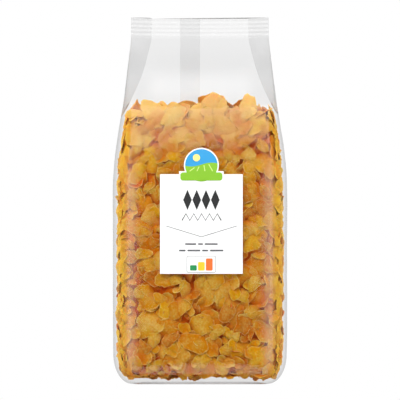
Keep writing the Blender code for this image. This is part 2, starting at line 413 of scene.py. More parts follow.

# How the film dims or whitens what lies behind it, and where: painted shade in the middle of the
# headspace, painted light just above the heap, a clearer weld with painted light on the crimp ridges,
# and painted highlights beside the folds
SLANT_SHADE = 0.6, 0.595, 0.59
FOOT_SHADE, FOOT_EDGE = 0.2, (2 * MM, 13 * MM)
HEADSPACE_PAINTED_SHADE, HEADSPACE_MIDDLE, HEADSPACE_REACH = 0.05, 305 * MM, 22 * MM
WELD_CLEAR_AND_RIDGE_LIGHT, HEAP_PAINTED_LIGHT = 0.55, 0.6
LIT_FROM, LIT_TO = (262 * MM, 280 * MM), (282 * MM, 302 * MM)
LIT_SIDES = 38 * MM, 58 * MM
GLOSS_COLOUR, SLANT_GLOSS, EMPTY_DULL = (0.9, 0.9, 0.91, 1), 0.6, 0.65
BAND_HIGHLIGHT_SHARE, BAND_HIGHLIGHT_COLOUR = 0.14, (0.98, 0.84, 0.76, 1)


def film_heights():
    """Ring heights, close together on the rounded base edge and on the crimp."""
    edge = EDGE_HEIGHT * (1 - np.cos(np.linspace(0, math.pi / 2, 14)[:-1]))
    body = np.arange(EDGE_HEIGHT, SEAL_FOOT - BODY_RING / 2, BODY_RING)
    crimp = np.linspace(SEAL_FOOT, HEIGHT, round(SEAL_HEIGHT / SEAL_RING) + 1)
    return np.concatenate((edge, body, crimp))


def film_relief(x, y, z):
    """How far the film stands out at a point: over flakes, and in soft creases of the headspace."""
    filled = in_fill(x, y, z)
    relief = BUMP_HEIGHT * noise.noise(Vector((x, y, z)) / BUMP_SIZE) * filled
    relief += CRINKLE_HEIGHT * noise.noise(Vector((x, y, z)) / CRINKLE_SIZE) * filled
    slack = smoothstep(FILL_LINE - SLACK_BELOW, FILL_LINE, z)
    slack *= 1 - smoothstep(SLACK_TO, SEAL_FOOT, z)
    fold = noise.noise(Vector((x / WRINKLE_WIDTH, y / WRINKLE_WIDTH, z / WRINKLE_LENGTH)))
    return relief + WRINKLE_HEIGHT * fold * slack


def placed(x, y, z):
    """A point of the film with the seal's sag, the gusset ends' step and the film's relief."""
    across = min(abs(x) / SEAL_HALF_WIDTH, 1.0)
    sag = SEAL_SAG * (1 - across * across) * smoothstep(SAG_START, SEAL_FOOT, z)
    at_gusset = across > 1 - GUSSET_DEPTH / SEAL_HALF_WIDTH
    step = GUSSET_STEP * at_gusset * smoothstep(TOP_RIB, HEIGHT, z)
    point = Vector((x, y, z - sag + step))
    outward = Vector((x / half_width(z), y / max(edge_depth(z), MM), 0))
    return point + outward.normalized() * film_relief(*point)


def walls(rings):
    """Faces that join rings of equal length, each ring anticlockwise from outside and above."""
    count = len(rings[0])
    faces = []
    for level in range(len(rings) - 1):
        base = level * count
        for i in range(count):
            j = (i + 1) % count
            faces.append((base + i, base + j, base + count + j, base + count + i))
    return faces


def closed_tube(rings):
    """Points and faces of a closed form of rings, each anticlockwise as seen from past the last one."""
    count = len(rings[0])
    verts = [point for ring in rings for point in ring]
    ends = [tuple(reversed(range(count))), tuple(range(len(verts) - count, len(verts)))]
    return verts, walls(rings) + ends


def base_rings(ring):
    """The foot of the film: a narrow rim on the floor about a slightly raised middle."""
    for scale, height in ((0.95, 0.0), (0.925, 0.45), (0.9, 0.9)):
        yield [Vector((p.x * scale, p.y * scale, height * MM)) for p in ring]


def highlight_band(x, y, z):
    """1 on the four bands beside the folds between front or back and sides, where the film gets a
    painted highlight, 0 away from them.
    """
    if abs(y) < edge_depth(z) * 0.5:
        return 0.0
    beside = (abs(x) - panel_edge(z) - FOLD_SHIFT) / FOLD_WIDTH
    length = smoothstep(*FOLD_FOOT, z) * (1 - smoothstep(*FOLD_TOP, z))
    return length * math.exp(-(beside**2))


def make_film(material):
    """The sealed film as one closed skin, its gussets folded in at the top."""
    heights = film_heights()
    rings = [
        [placed(x, y, z) for x, y in outline(z, FILM_PANEL_STEPS, FILM_SIDE_STEPS)] for z in heights
    ]
    rings = [*reversed(list(base_rings(rings[0]))), *rings]
    heights = np.concatenate((np.zeros(3), heights))
    count = len(rings[0])
    verts, faces = closed_tube(rings)
    mesh = mesh_from("film", verts, faces)
    for cap in (-1, -2):
        mesh.polygons[len(faces) + cap].use_smooth = False
    turn = FILM_PANEL_STEPS + FILM_SIDE_STEPS
    half = FILM_SIDE_STEPS // 2
    folds = {0, FILM_PANEL_STEPS, turn, turn + FILM_PANEL_STEPS}
    folds |= {FILM_PANEL_STEPS + half, count - half}
    sharp = mesh.attributes.new("sharp_edge", "BOOLEAN", "EDGE")
    for edge in mesh.edges:
        a, b = edge.vertices
        along = a % count == b % count and a % count in folds
        sharp.data[edge.index].value = along and verts[a].z > FILL_LINE
    height = np.repeat(heights, count)
    in_seal = smoothstep(SEAL_FOOT - 2 * MM, SEAL_FOOT + 0.5 * MM, height)
    wave = np.cos((height - TOP_RIB) / RIB_PITCH * 2 * math.pi)
    put_attribute(mesh, "crimp", "FLOAT", in_seal * (0.5 - 0.5 * wave) ** 3)
    put_attribute(mesh, "seal", "FLOAT", in_seal)
    # where the film gets its painted highlight bands beside the folds
    put_attribute(mesh, "fold", "FLOAT", [highlight_band(*v) for v in verts])
    film = new_object("film", mesh, material, "film")
    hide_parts("bag")


def make_back_seam(material):
    """The lengthwise seam: a second strip of film down the back, crimped in with the seal."""
    across = np.linspace(SEAM_FROM, SEAM_TO, 9)
    rings = []
    for z in film_heights():
        if z > SEAM_START:
            back = [placed(x, panel_depth(x, z) - rib_wave(z), z) for x in across]
            outer = [p + Vector((0, SEAM_THICKNESS, 0)) for p in reversed(back)]
            rings.append([p + Vector((0, SEAM_GAP, 0)) for p in back] + outer)
    count = len(rings[0])
    verts = [p for ring in rings for p in ring]
    faces = walls(rings)
    last = len(verts) - count
    for i in range(len(across) - 1):
        faces.append((i, count - 1 - i, count - 2 - i, i + 1))
        faces.append((last + i, last + i + 1, last + count - 2 - i, last + count - 1 - i))
    new_object("back_seam", mesh_from("back_seam", verts, faces, False), material, "film")


def flat_slab(name, corners, low, high, material):
    """A closed flat sheet with a given outline, lying between two heights."""
    rings = [[(x, y, z) for x, y in corners] for z in (low, high)]
    new_object(name, mesh_from(name, *closed_tube(rings), False), material, "film")


def make_base_folds(material):
    """The bottom seal folded flat under the bag, over the two folded-in gusset corners."""
    for name, side in (("left_base_fold", -1), ("right_base_fold", 1)):
        corners = [
            (side * FLAP_HALF_LENGTH, -FLAP_HALF_WIDTH * 0.6),
            (side * CORNER_FOLD, -CORNER_DEPTH),
            (side * CORNER_OUTER, -CORNER_DEPTH),
            (side * CORNER_OUTER, CORNER_DEPTH),
            (side * CORNER_FOLD, CORNER_DEPTH),
            (side * FLAP_HALF_LENGTH, FLAP_HALF_WIDTH * 0.6),
        ]
        flat_slab(name, corners[::side], CORNER_LOW, CORNER_HIGH, material)
    lines = np.linspace(-FLAP_HALF_WIDTH, FLAP_HALF_WIDTH, 25)
    ridges = 0.3 * MM - 0.2 * MM * np.cos(lines / FLAP_HALF_WIDTH * 3 * math.pi) ** 2
    rings = []
    for x in (-BASE_SEAL_HALF_LENGTH, BASE_SEAL_HALF_LENGTH):
        under = [(x, y, z) for y, z in zip(lines, ridges)]
        rings.append(under + [(x, y, 0.45 * MM) for y in lines[::-1]])
    mesh = mesh_from("base_seal", *closed_tube(rings), False)
    new_object("base_seal", mesh, material, "film")


def film_material(name, tint, sheen):
    """Clear film: it passes light with a faint tint and adds gloss, more of it at a slant."""
    film = Finish(name)
    # the seal's ridges pass more light than its grooves: partly a clearer weld, partly painted light
    # that sets bright ridges against darker grooves
    weld = film.attribute("seal") * (1 - film.attribute("crimp"))
    bump = film.bump(film.noise(11 * MM, 0.0), 0.25 * MM, 0.3)
    slant = film.node("ShaderNodeLayerWeight", None, {"Blend": 0.5, "Normal": bump}, out="Facing")
    height = film.coordinate("Z")
    foot = (1 - height.smooth(*FOOT_EDGE)) * FOOT_SHADE
    # darker in the middle of the headspace: painted shade
    away = abs(height - HEADSPACE_MIDDLE).smooth(0, HEADSPACE_REACH)
    dim = (slant**3 + (1 - away) * HEADSPACE_PAINTED_SHADE).most(foot)
    passed = film.blend(dim, film.clear(tint, tint, tint), film.clear(*SLANT_SHADE))
    # the front panel's film just above the heap lets all light through: painted light
    panel = 1 - abs(film.coordinate("X")).smooth(*LIT_SIDES)
    lit_above_heap = height.smooth(*LIT_FROM) * (1 - height.smooth(*LIT_TO))
    cleared_and_lit = (weld * WELD_CLEAR_AND_RIDGE_LIGHT).most(lit_above_heap * panel * HEAP_PAINTED_LIGHT)
    passed = film.blend(cleared_and_lit, passed, film.clear(1, 1, 1))
    gloss = film.principled(Base_Color=GLOSS_COLOUR, Metallic=1.0, Roughness=0.13, Normal=bump)
    empty = height.smooth(FILL_LINE + 6 * MM, FILL_LINE + 34 * MM)
    share = (slant**4 * SLANT_GLOSS + sheen) * (1 - empty * EMPTY_DULL)
    shining = film.blend(share, passed, gloss)
    # a pale peach diffuse coat on the bands beside the folds: a painted highlight standing in for the
    # softboxes' reflection
    painted_band = film.principled(Base_Color=BAND_HIGHLIGHT_COLOUR, Roughness=0.8, Specular_IOR_Level=0.0)
    return film.done(film.blend(film.attribute("fold") * BAND_HIGHLIGHT_SHARE, shining, painted_band))


# Flakes

FLAKE_SHAPES = 26
FLAKE_RADIUS = 12.2 * MM
FINE_FLAKE = (34, (0.45, 0.86, 1.0))
COARSE_FLAKE = (20, (0.62, 1.0))
FLAKE_SAMPLES = 200

# Steps across a panel and along a side, where a section only bounds the flakes
COARSE_STEPS = 20, 12


class FlakeShape:
    """One curled, blistered, ragged flake about one unit in radius, its hollow side up."""

    def __init__(self, seed):
        draw = np.random.default_rng(seed)
        self.orders = np.arange(2, 8)
        sizes = np.array((0.12, 0.07, 0.05, 0.032, 0.022, 0.016))
        self.lobes = sizes * draw.normal(1.0, 0.4, len(self.orders))
        self.phases = draw.uniform(0, 2 * math.pi, len(self.orders))
        self.narrow = draw.uniform(0.6, 0.96)
        self.ragged = draw.choice((0.04, 0.07, 0.1, 0.16))
        self.breaks = [
            (draw.uniform(0, 2 * math.pi), draw.uniform(0.78, 0.98))
            for _ in range(draw.choice((0, 0, 1, 1, 2)))
        ]
        self.bend = draw.uniform(0.08, 0.42)
        self.cross_bend = draw.uniform(-0.12, 0.2)
        self.axis = draw.uniform(0, math.pi)
        self.curl = draw.uniform(0.0, 1.1)
        self.wave = draw.uniform(0.03, 0.1)
        self.wave_order = draw.integers(2, 6)
        self.wave_phase = draw.uniform(0, 2 * math.pi)
        self.blister = draw.uniform(0.06, 0.13)
        self.offset = Vector(draw.uniform(-50, 50, 3))
        self.thickness = draw.uniform(0.02, 0.03)

    def reach(self, angle):
        """The outline's distance from the middle: lobed, frayed and broken off straight."""
        far = 1.08 + float(np.sum(self.lobes * np.cos(self.orders * angle + self.phases)))
        way = Vector((math.cos(angle), math.sin(angle), 0))
        far += self.ragged * noise.noise(way * 3.7 + self.offset)
        far += self.ragged * 0.7 * noise.noise(way * 8.0 + self.offset)
        for toward, limit in self.breaks:
            lean = math.cos(angle - toward)
            if lean > 0.1:
                far = min(far, limit / lean)
        return far

    def middle(self, share, angle):
        """A point of the middle surface, by its share of the radius and its angle."""
        far = share * self.reach(angle)
        x, y = far * math.cos(angle), far * math.sin(angle) * self.narrow
        along = x * math.cos(self.axis) + y * math.sin(self.axis)
        over = y * math.cos(self.axis) - x * math.sin(self.axis)
        rise = self.bend * along * along + self.cross_bend * over * over
        rise += self.curl * max(along - 0.45, 0.0) ** 2
        rise += self.wave * share**2 * math.sin(self.wave_order * angle + self.wave_phase)
        rise += self.blister * noise.noise(Vector((x, y, 0)) * 1.9 + self.offset)
        return Vector((x, y, rise))

    def surface(self, share, angle, side):
        """A point of the upper or lower surface, blistered on its own."""
        point = self.middle(share, angle)
        blister = noise.noise(point * 4.2 + self.offset * side) + 0.3
        point.z += side * (self.thickness + 0.04 * max(blister, 0) * (1 - share**6))
        return point

    def mesh(self, name, segments, shares):
        verts, faces, edge = [], [], []
        for side in (1, -1):
            start = len(verts)
            verts.append(self.surface(0, 0, side))
            edge.append(0)
            for share in shares:
                for i in range(segments):
                    verts.append(self.surface(share, 2 * math.pi * i / segments, side))
                    edge.append(share)
            for i in range(segments):
                j = (i + 1) % segments
                face = (start, start + 1 + i, start + 1 + j)
                faces.append(face if side > 0 else face[::-1])
                for ring in range(len(shares) - 1):
                    a = start + 1 + ring * segments
                    b = a + segments
                    face = (a + i, b + i, b + j, a + j)
                    faces.append(face if side > 0 else face[::-1])
        half = len(verts) // 2
        rim = 1 + (len(shares) - 1) * segments
        for i in range(segments):
            j = (i + 1) % segments
            faces.append((rim + i, half + rim + i, half + rim + j, rim + j))
        mesh = mesh_from(name, verts, faces)
        sharp = mesh.attributes.new("sharp_edge", "BOOLEAN", "EDGE")
        for edge_line in mesh.edges:
            a, b = edge_line.vertices
            on_rim = rim <= a < half or a >= half + rim
            same_side = (a < half) == (b < half)
            also = rim <= b < half or b >= half + rim
            sharp.data[edge_line.index].value = on_rim and also and same_side
        put_attribute(mesh, "edge", "FLOAT", edge)
        flat = [Vector((v.x, v.y, 0)) * 2.6 + self.offset for v in verts]
        dents = [0.8 * noise.noise(v) + 0.4 * noise.noise(v * 2.1) for v in flat]
        # deeper colour in the middle of the hollow side and paler in the middle of the back, less
        # random dents: the mask of a painted shade in the hollow
        bowl = 0.9 * (0.55 - np.array(edge) ** 2) * np.repeat((1, -1), half)
        put_attribute(mesh, "hollow", "FLOAT", np.clip(0.5 + bowl - dents, 0, 1))
        return mesh

    def samples(self, count):
        """Points spread evenly over the middle surface."""
        golden = math.pi * (3 - math.sqrt(5))
        points = [self.middle(math.sqrt((i + 0.5) / count), i * golden) for i in range(count)]
        return np.array(points)


def outline_levels(heights, side_margin, front_margin):
    """The bag's sections at some heights, drawn in so that flakes stay clear of the film."""
    levels = []
    for z in heights:
        ring = outline(min(z, SEAL_FOOT - MM), *COARSE_STEPS)
        scale = (1 - side_margin / half_width(z), 1 - front_margin / edge_depth(z))
        levels.append(ring * scale)
    return levels


def inside(ring, xs, ys):
    """Which cells of one level lie inside a closed outline, by x and y."""
    x0, y0 = ring[:, 0], ring[:, 1]
    x1, y1 = np.roll(x0, -1), np.roll(y0, -1)
    crossed = (y0 > ys[:, None]) != (y1 > ys[:, None])
    rise = np.where(y1 == y0, 1.0, y1 - y0)
    at = x0 + (ys[:, None] - y0) * (x1 - x0) / rise
    return ((xs[:, None, None] < at) & crossed).sum(-1) % 2 == 1


def floor_gap(x, y):
    """How far the lowest flakes stay off the floor, unevenly."""
    return FLOOR_GAP + FLOOR_WAVE * noise.noise(Vector((x, y, 0)) / FLOOR_WAVE_SIZE)


def heap_top(x, y):
    """How high flakes lie at a place: uneven, with one rise right of the middle."""
    swell = HEAP_RISE * math.exp(-(((x - HEAP_RISE_AT) / HEAP_RISE_WIDTH) ** 2))
    swell -= HEAP_DROP * smoothstep(*HEAP_DROP_OVER, abs(x))
    waves = HEAP_WAVE * noise.noise(Vector((x, y, 0)) / HEAP_WAVE_SIZE)
    return HEAP_HIGH + swell + waves


class Filling:
    """Flakes laid one by one in a grid of cells that are taken or free."""

    CELL = 1.25 * MM
    TOP = 296 * MM

    def __init__(self, seed):
        self.draw = np.random.default_rng(seed)
        self.shapes = [FlakeShape(i) for i in range(FLAKE_SHAPES)]
        self.samples = np.array([shape.samples(FLAKE_SAMPLES) for shape in self.shapes])
        self.low = np.array((BAG_LOW.x - MM, BAG_LOW.y - MM, 0))
        size = np.array((BAG_HIGH.x + MM, BAG_HIGH.y + MM, self.TOP)) - self.low
        self.shape = np.ceil(size / self.CELL).astype(int)
        self.taken = np.ones(self.shape, bool)
        centres = [self.low[k] + (np.arange(self.shape[k]) + 0.5) * self.CELL for k in range(3)]
        rings = outline_levels(centres[2], *FILM_GAPS)
        floor = np.array([[floor_gap(x, y) for y in centres[1]] for x in centres[0]])
        core = outline_levels(centres[2], CORE_INSET, CORE_INSET)
        for level, z in enumerate(centres[2]):
            clear = inside(rings[level], centres[0], centres[1]) & (z > floor)
            self.taken[:, :, level] = ~clear
            if CORE_BOTTOM < z < CORE_TOP:
                self.taken[:, :, level] |= inside(core[level], centres[0], centres[1])
        self.taken[:, :, -1] = True
        self.weight = np.where(self.taken, 1.0, 0.0).astype(np.float32)
        self.laid = []

    def cells(self, points):
        cells = ((points - self.low) / self.CELL).astype(int)
        cells = np.clip(cells, 0, self.shape - 1)
        return cells[..., 0], cells[..., 1], cells[..., 2]

    def blocked(self, points):
        """Whether a flake's points leave the bag, or cut into other flakes by more than a little."""
        return self.weight[self.cells(points)].mean(-1) > TOUCHING

    def poses(self, normals, spread, sizes):
        """Random turns of flakes whose own normals lean about given directions."""
        count = len(normals)
        spreads = spread * np.where(self.draw.random(count) < LOOSE_SHARE, 1.6, 0.8)
        lean = np.radians(np.abs(self.draw.normal(0, 1, count) * spreads).clip(0, 80))
        around = self.draw.uniform(0, 2 * math.pi, count)
        spin = self.draw.uniform(0, 2 * math.pi, count)
        flip = self.draw.random(count) < FLIPPED_SHARE
        turns = []
        for i in range(count):
            aim = Vector(normals[i]).to_track_quat("Z", "Y").to_matrix()
            tilt = Matrix.Rotation(around[i], 3, "Z") @ Matrix.Rotation(lean[i], 3, "X")
            turn = aim @ tilt @ Matrix.Rotation(spin[i], 3, "Z")
            if flip[i]:
                turn = turn @ Matrix.Rotation(math.pi, 3, "X")
            turns.append(np.array(turn))
        turns = np.array(turns)
        kinds = self.draw.integers(0, FLAKE_SHAPES, count)
        bodies = np.einsum("kij,knj->kni", turns, self.samples[kinds]) * sizes[:, None, None]
        return turns, kinds, bodies

    def lay(self, starts, ways, normals, reaches, spread, sizes, limits=None):
        """Tries one flake for each start, moved along its way, and keeps the first that fits."""
        turns, kinds, bodies = self.poses(normals, spread, sizes)
        centres = starts[:, None] + ways[:, None] * reaches[None, :, None]
        blocked = self.blocked(centres[:, :, None] + bodies[:, None])
        if limits is not None:
            blocked |= reaches > limits[:, None]
        first = np.argmax(~blocked, axis=1)
        missed = blocked.all(axis=1)
        if missed.all():
            return False
        first[missed] = len(reaches)
        best = int(np.argmin(first))
        centre = centres[best, first[best]]
        cells = self.cells(centre + bodies[best])
        self.weight[cells] = np.maximum(self.weight[cells], FLAKE_WEIGHT)
        self.laid.append((centre, turns[best], sizes[best], kinds[best], reaches[first[best]]))
        return True


# How the bag is filled
FILM_GAPS = 3.2 * MM, 1.9 * MM
LOOSE_SHARE, FLIPPED_SHARE = 0.35, 0.35
TOP_LEAN, FOOT_DROOP = 0.35, 0.9
CORE_INSET = 14 * MM
CORE_BOTTOM = 17 * MM
CORE_TOP = 243 * MM
CORE_SHOWN = 5.5 * MM, 7.5 * MM
LUMP_HEIGHT = 2.6 * MM
WALL_FLAKES = 2350
WALL_LARGE = 1500
WALL_SMALL_GAP = 3 * MM
SMALL_BESIDE, SMALL_BEFORE = 0.75, 0.62
SIDEWAYS = 0.3
WALL_TRIES = 12
WALL_SPREAD = 36
SIDE_TURNED = 0.7
WALL_TOP = 259 * MM
CROWN_FLAKES = 46
CROWN_SPREAD = 16
CROWN_REACH = 60 * MM
CROWN_RISE = -13, 4
CROWN_SIZES, HEAP_SIZES = (0.75, 1.1), (0.8, 1.2)
NEAREST, CROWN_DEEPEST, WALL_DEEPEST = 1.4 * MM, 14 * MM, 22 * MM
HEAP_FLAKES = 300
HEAP_TRIES = 10
HEAP_SPREAD = 26
FLOOR_FLAKES = 170
FLOOR_SPREAD = 12
FLOOR_REACH = 70 * MM, 28 * MM
FLOOR_START = 2 * MM
FLOOR_GAP, FLOOR_WAVE, FLOOR_WAVE_SIZE = 5.0 * MM, 7 * MM, 11 * MM
HEAP_LOW, HEAP_HIGH = 232 * MM, 252 * MM
HEAP_RISE, HEAP_RISE_AT, HEAP_RISE_WIDTH = 7 * MM, 13 * MM, 15 * MM
HEAP_DROP, HEAP_DROP_OVER = 6 * MM, (40 * MM, 66 * MM)
HEAP_WAVE, HEAP_WAVE_SIZE = 10 * MM, 19 * MM
FLAKE_STEP = 0.7 * MM
DEEP = 8.5 * MM
TOUCHING = 0.017
FLAKE_WEIGHT = 0.1
# Where the flakes' painted shade goes: depth steps, and how much less of it the sides and the floor get
SUNK_LEVEL = 4 * MM
SUNK_DEPTHS = (2.2 * MM, 8.5 * MM)
SIDE_LIGHT, SIDE_LIT = 0.85, (62 * MM, 76 * MM)
FLOOR_LIGHT, FLOOR_LIT = 0.3, (3 * MM, 14 * MM)


def wall_places(draw, rings, count):
    """Random points on the film below the fill line, with the way out at each."""
    starts, outs = [], []
    for z, ring in (rings[i] for i in draw.integers(0, len(rings), count)):
        ahead = np.roll(ring, -1, 0)
        lengths = np.linalg.norm(ahead - ring, axis=1)
        i = draw.choice(len(ring), p=lengths / lengths.sum())
        point = ring[i] + (ahead[i] - ring[i]) * draw.random()
        along = (ahead[i] - ring[i]) / lengths[i]
        droop = -FOOT_DROOP * max(1 - z / EDGE_HEIGHT, 0.0) ** 2
        lean = TOP_LEAN * smoothstep(215 * MM, FILL_LINE, z)
        starts.append((point[0], point[1], z))
        outs.append(Vector((along[1], -along[0], droop + lean)).normalized())
    return np.array(starts), np.array(outs)


def flake_sizes(draw, count):
    """Radii of flakes: mostly middling, with some large ones and many broken bits."""
    middling = draw.normal(1.0, 0.2, count)
    broken = draw.uniform(0.45, 0.75, count)
    return FLAKE_RADIUS * np.where(draw.random(count) < 0.16, broken, middling).clip(0.42, 1.36)


def fill_crown(filling):
    """Lays large flakes upright along the top of the heap, against the front and the back."""
    reaches = np.arange(NEAREST, CROWN_DEEPEST, FLAKE_STEP)
    for _ in range(CROWN_FLAKES):
        x = filling.draw.uniform(-CROWN_REACH, CROWN_REACH, WALL_TRIES)
        back = filling.draw.choice((-1, -1, 1), WALL_TRIES)
        z = [heap_top(at, 0) + filling.draw.uniform(*CROWN_RISE) * MM for at in x]
        y = [side * panel_depth(*at) for side, *at in zip(back, x, z)]
        outs = np.column_stack((0 * x, back, TOP_LEAN + 0 * x))
        outs /= np.linalg.norm(outs, axis=1)[:, None]
        sizes = FLAKE_RADIUS * filling.draw.uniform(*CROWN_SIZES, WALL_TRIES)
        starts = np.column_stack((x, y, z))
        filling.lay(starts, -outs, outs, reaches, CROWN_SPREAD, sizes)


def side_aims(draw, starts, outs):
    """Ways for flakes to face: out of the bag, but along the sides often forward or back."""
    aims = outs.copy()
    turned = (np.abs(outs[:, 0]) > 0.6) & (draw.random(len(outs)) < SIDE_TURNED)
    aims[turned, 0] *= 0.5
    aims[turned, 1] = np.where(starts[turned, 1] > 8 * MM, 0.9, -0.9)
    return aims


def fill_walls(filling):
    """Lays flakes against the film, each as far out as it goes."""
    reaches = np.arange(NEAREST, WALL_DEEPEST, FLAKE_STEP)
    rings = [(z, outline(z, *COARSE_STEPS)) for z in np.arange(2 * MM, WALL_TOP, 1.5 * MM)]
    for i in range(WALL_FLAKES):
        starts, outs = wall_places(filling.draw, rings, WALL_TRIES)
        beside = np.abs(outs[:, 0]) > SIDEWAYS
        if i > WALL_LARGE and i % 2 and beside.any():
            starts, outs, beside = starts[beside], outs[beside], beside[beside]
        sizes = flake_sizes(filling.draw, len(starts))
        if i > WALL_LARGE:
            starts -= outs * np.where(beside, 0, WALL_SMALL_GAP)[:, None]
            sizes *= np.where(beside, SMALL_BESIDE, SMALL_BEFORE)
        aims = side_aims(filling.draw, starts, outs)
        filling.lay(starts, -outs, aims, reaches, WALL_SPREAD, sizes)


def places_below(draw, reach_x, reach_y, height):
    """Random places at a height, with the way straight up from each."""
    x = draw.uniform(-reach_x, reach_x, HEAP_TRIES)
    y = draw.uniform(-reach_y, reach_y, HEAP_TRIES)
    starts = np.column_stack((x, y, np.full(HEAP_TRIES, height)))
    return starts, np.tile((0.0, 0.0, 1.0), (HEAP_TRIES, 1))


def fill_top(filling):
    """Drops flakes on the heap in the middle of the bag, each as low as it goes."""
    reaches = np.arange(0, HEAP_HIGH + 20 * MM - HEAP_LOW, FLAKE_STEP)
    reach_x, reach_y = half_width(FILL_LINE) - 8 * MM, edge_depth(FILL_LINE)
    for _ in range(HEAP_FLAKES):
        starts, ups = places_below(filling.draw, reach_x, reach_y, HEAP_LOW)
        sizes = FLAKE_RADIUS * filling.draw.uniform(*HEAP_SIZES, HEAP_TRIES)
        limits = np.array([heap_top(*place) for place in starts[:, :2]]) - HEAP_LOW
        filling.lay(starts, ups, ups, reaches, HEAP_SPREAD, sizes, limits)


def fill_floor(filling):
    """Lays flakes on the floor of the bag, each as low as it goes."""
    reaches = np.arange(0, CORE_BOTTOM - 2 * MM, FLAKE_STEP)
    for _ in range(FLOOR_FLAKES):
        starts, ups = places_below(filling.draw, *FLOOR_REACH, FLOOR_START)
        sizes = flake_sizes(filling.draw, HEAP_TRIES)
        filling.lay(starts, ups, -ups, reaches, FLOOR_SPREAD, sizes)


def scatter_tree():
    """The node tree that sets a flake on each point, by the point's own turn, size and kind."""
    tree = bpy.data.node_groups.new("loose flakes", "GeometryNodeTree")
    face = tree.interface
    face.new_socket("Places", in_out="INPUT", socket_type="NodeSocketGeometry")
    face.new_socket("Flakes", in_out="INPUT", socket_type="NodeSocketCollection")
    face.new_socket("Finish", in_out="INPUT", socket_type="NodeSocketMaterial")
    face.new_socket("Flakes", in_out="OUTPUT", socket_type="NodeSocketGeometry")

    def node(kind, settings=None, sockets=None):
        made = tree.nodes.new(kind)
        for name, value in (settings or {}).items():
            setattr(made, name, value)
        for name, value in (sockets or {}).items():
            if isinstance(value, bpy.types.NodeSocket):
                tree.links.new(value, made.inputs[name])
            else:
                made.inputs[name].default_value = value
        return made

    def named(name, kind):
        read = node("GeometryNodeInputNamedAttribute", {"data_type": kind}, {"Name": name})
        return read.outputs["Attribute"]

    given = node("NodeGroupInput").outputs
    shapes = node(
        "GeometryNodeCollectionInfo",
        None,
        {"Collection": given["Flakes"], "Separate Children": True, "Reset Children": True},
    )
    turn = node("FunctionNodeEulerToRotation", None, {0: named("turn", "FLOAT_VECTOR")})
    set_down = node(
        "GeometryNodeInstanceOnPoints",
        None,
        {
            "Points": given["Places"],
            "Instance": shapes.outputs[0],
            "Pick Instance": True,
            "Instance Index": named("kind", "INT"),
            "Rotation": turn.outputs[0],
            "Scale": named("size", "FLOAT_VECTOR"),
        },
    )
    real = node("GeometryNodeRealizeInstances", None, {0: set_down.outputs[0]})
    dressed = node(
        "GeometryNodeSetMaterial", None, {"Geometry": real.outputs[0], "Material": given["Finish"]}
    )
    node("NodeGroupOutput", None, {0: dressed.outputs[0]})
    return tree


def set_input(modifier, name, value):
    """Sets a modifier's input by its socket's identifier."""
    for item in modifier.node_group.interface.items_tree:
        if item.item_type == "SOCKET" and item.in_out == "INPUT" and item.name == name:
            modifier[item.identifier] = value


def scatter(name, laid, tones, shapes, tree, material):
    """One joined mesh of the flakes laid at some places."""
    points = bpy.data.meshes.new(name + " places")
    points.from_pydata([tuple(row[0]) for row in laid], [], [])
    turns = [tuple(Matrix(row[1]).to_euler()) for row in laid]
    put_attribute(points, "turn", "FLOAT_VECTOR", turns)
    put_attribute(points, "size", "FLOAT_VECTOR", [[row[2]] * 3 for row in laid])
    put_attribute(points, "kind", "INT", [int(row[3]) for row in laid])
    put_attribute(points, "tone", "FLOAT", tones)
    holder = bpy.data.objects.new(name + " places", points)
    bpy.context.scene.collection.objects.link(holder)
    modifier = holder.modifiers.new("flakes", "NODES")
    modifier.node_group = tree
    set_input(modifier, "Flakes", shapes)
    set_input(modifier, "Finish", material)
    bpy.context.view_layer.update()
    graph = bpy.context.evaluated_depsgraph_get()
    mesh = bpy.data.meshes.new_from_object(holder.evaluated_get(graph))
    mesh.name = name
    bpy.data.objects.remove(holder)
    bpy.data.meshes.remove(points)
    places = np.empty(len(mesh.vertices) * 3)
    mesh.vertices.foreach_get("co", places)
    put_attribute(mesh, "painted_shade", "FLOAT", painted_shade(places.reshape(-1, 3)))
    for old in ("turn", "size", "kind"):
        if old in mesh.attributes:
            mesh.attributes.remove(mesh.attributes[old])
    return new_object(name, mesh, material, "flakes")


def shape_collection(name, shapes, segments, shares):
    collection = bpy.data.collections.new(name)
    bpy.context.scene.collection.children.link(collection)
    for i, shape in enumerate(shapes):
        label = f"{name}_{i:02d}"
        collection.objects.link(bpy.data.objects.new(label, shape.mesh(label, segments, shares)))
    return collection


def painted_shade(points):
    """0 where points are near the film or the top of the heap, 1 where they are deep inside, less at
    the sides and the floor: where flakes get painted shade.
    """
    x, y, z = np.abs(points).T
    turn = np.arctan2(y, x)
    gap = np.zeros(len(points))
    levels = (z / SUNK_LEVEL).astype(int)
    for level in np.unique(levels):
        own = levels == level
        height = min((level + 0.5) * SUNK_LEVEL, SEAL_FOOT)
        ring = np.abs(outline(height, *COARSE_STEPS))
        order = np.argsort(np.arctan2(ring[:, 1], ring[:, 0]))
        around = np.arctan2(ring[:, 1], ring[:, 0])[order]
        film = np.interp(turn[own], around, np.hypot(ring[:, 0], ring[:, 1])[order])
        across = np.minimum(x[own] / panel_edge(height), 1)
        front = edge_depth(height) + panel_bulge(height) * (1 - across**2) - y[own]
        side = half_width(height) - x[own]
        gap[own] = np.minimum.reduce((film - np.hypot(x, y)[own], front, side))
    shaded = 1 - smoothstep(CORE_TOP - 8 * MM, FILL_LINE, z)
    shaded *= 1 - SIDE_LIGHT * smoothstep(*SIDE_LIT, x)
    shaded *= FLOOR_LIGHT + (1 - FLOOR_LIGHT) * smoothstep(*FLOOR_LIT, z)
    return smoothstep(*SUNK_DEPTHS, gap) * shaded


def drop_collection(collection):
    for obj in list(collection.objects):
        mesh = obj.data
        bpy.data.objects.remove(obj)
        bpy.data.meshes.remove(mesh)
    bpy.data.collections.remove(collection)


